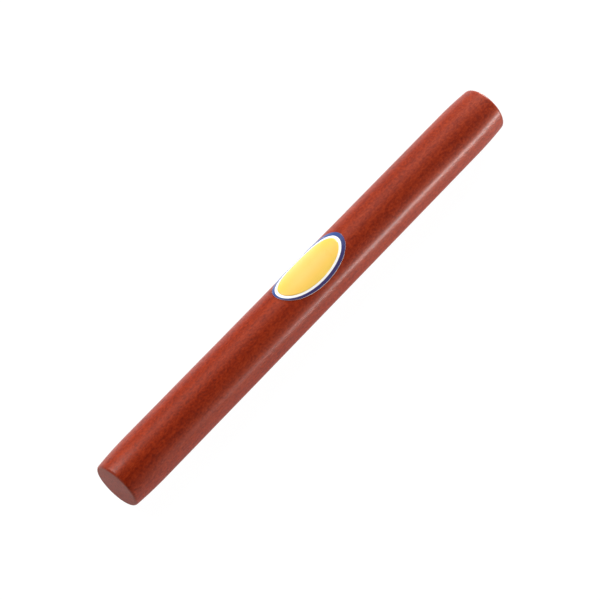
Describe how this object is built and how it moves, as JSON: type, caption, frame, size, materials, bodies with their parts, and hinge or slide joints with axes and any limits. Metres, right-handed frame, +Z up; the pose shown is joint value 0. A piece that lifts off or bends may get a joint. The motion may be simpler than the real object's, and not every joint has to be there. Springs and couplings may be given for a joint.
{
  "type": "wooden rhythm stick",
  "caption": "Short straight turned hardwood stick with gently eased flat ends and an oval label wrapped round its middle, held in the hand and tossed or struck.",
  "frame": {"origin": "on the surface that the stick lies on, straight below the middle of the stick", "axes": "+X along the stick towards the end that the label sits nearer to, +Z up, with the label facing up and turned a little towards +Y"},
  "size_m": [0.256, 0.0254, 0.0255],
  "materials": {
    "red_brown_hardwood": "satin gloss clear lacquer over fine-pored red-brown hardwood",
    "clear_adhesive": "clear pressure-sensitive adhesive",
    "white_label_film": "glossy white plastic film",
    "blue_ink": "glossy dark blue print",
    "yellow_ink": "glossy warm yellow print"
  },
  "bodies": {
    "root": {"wooden_stick": "red_brown_hardwood", "label_adhesive": "clear_adhesive", "label_film": "white_label_film", "label_blue_border": "blue_ink", "label_yellow_field": "yellow_ink"}
  },
  "joints": []
}
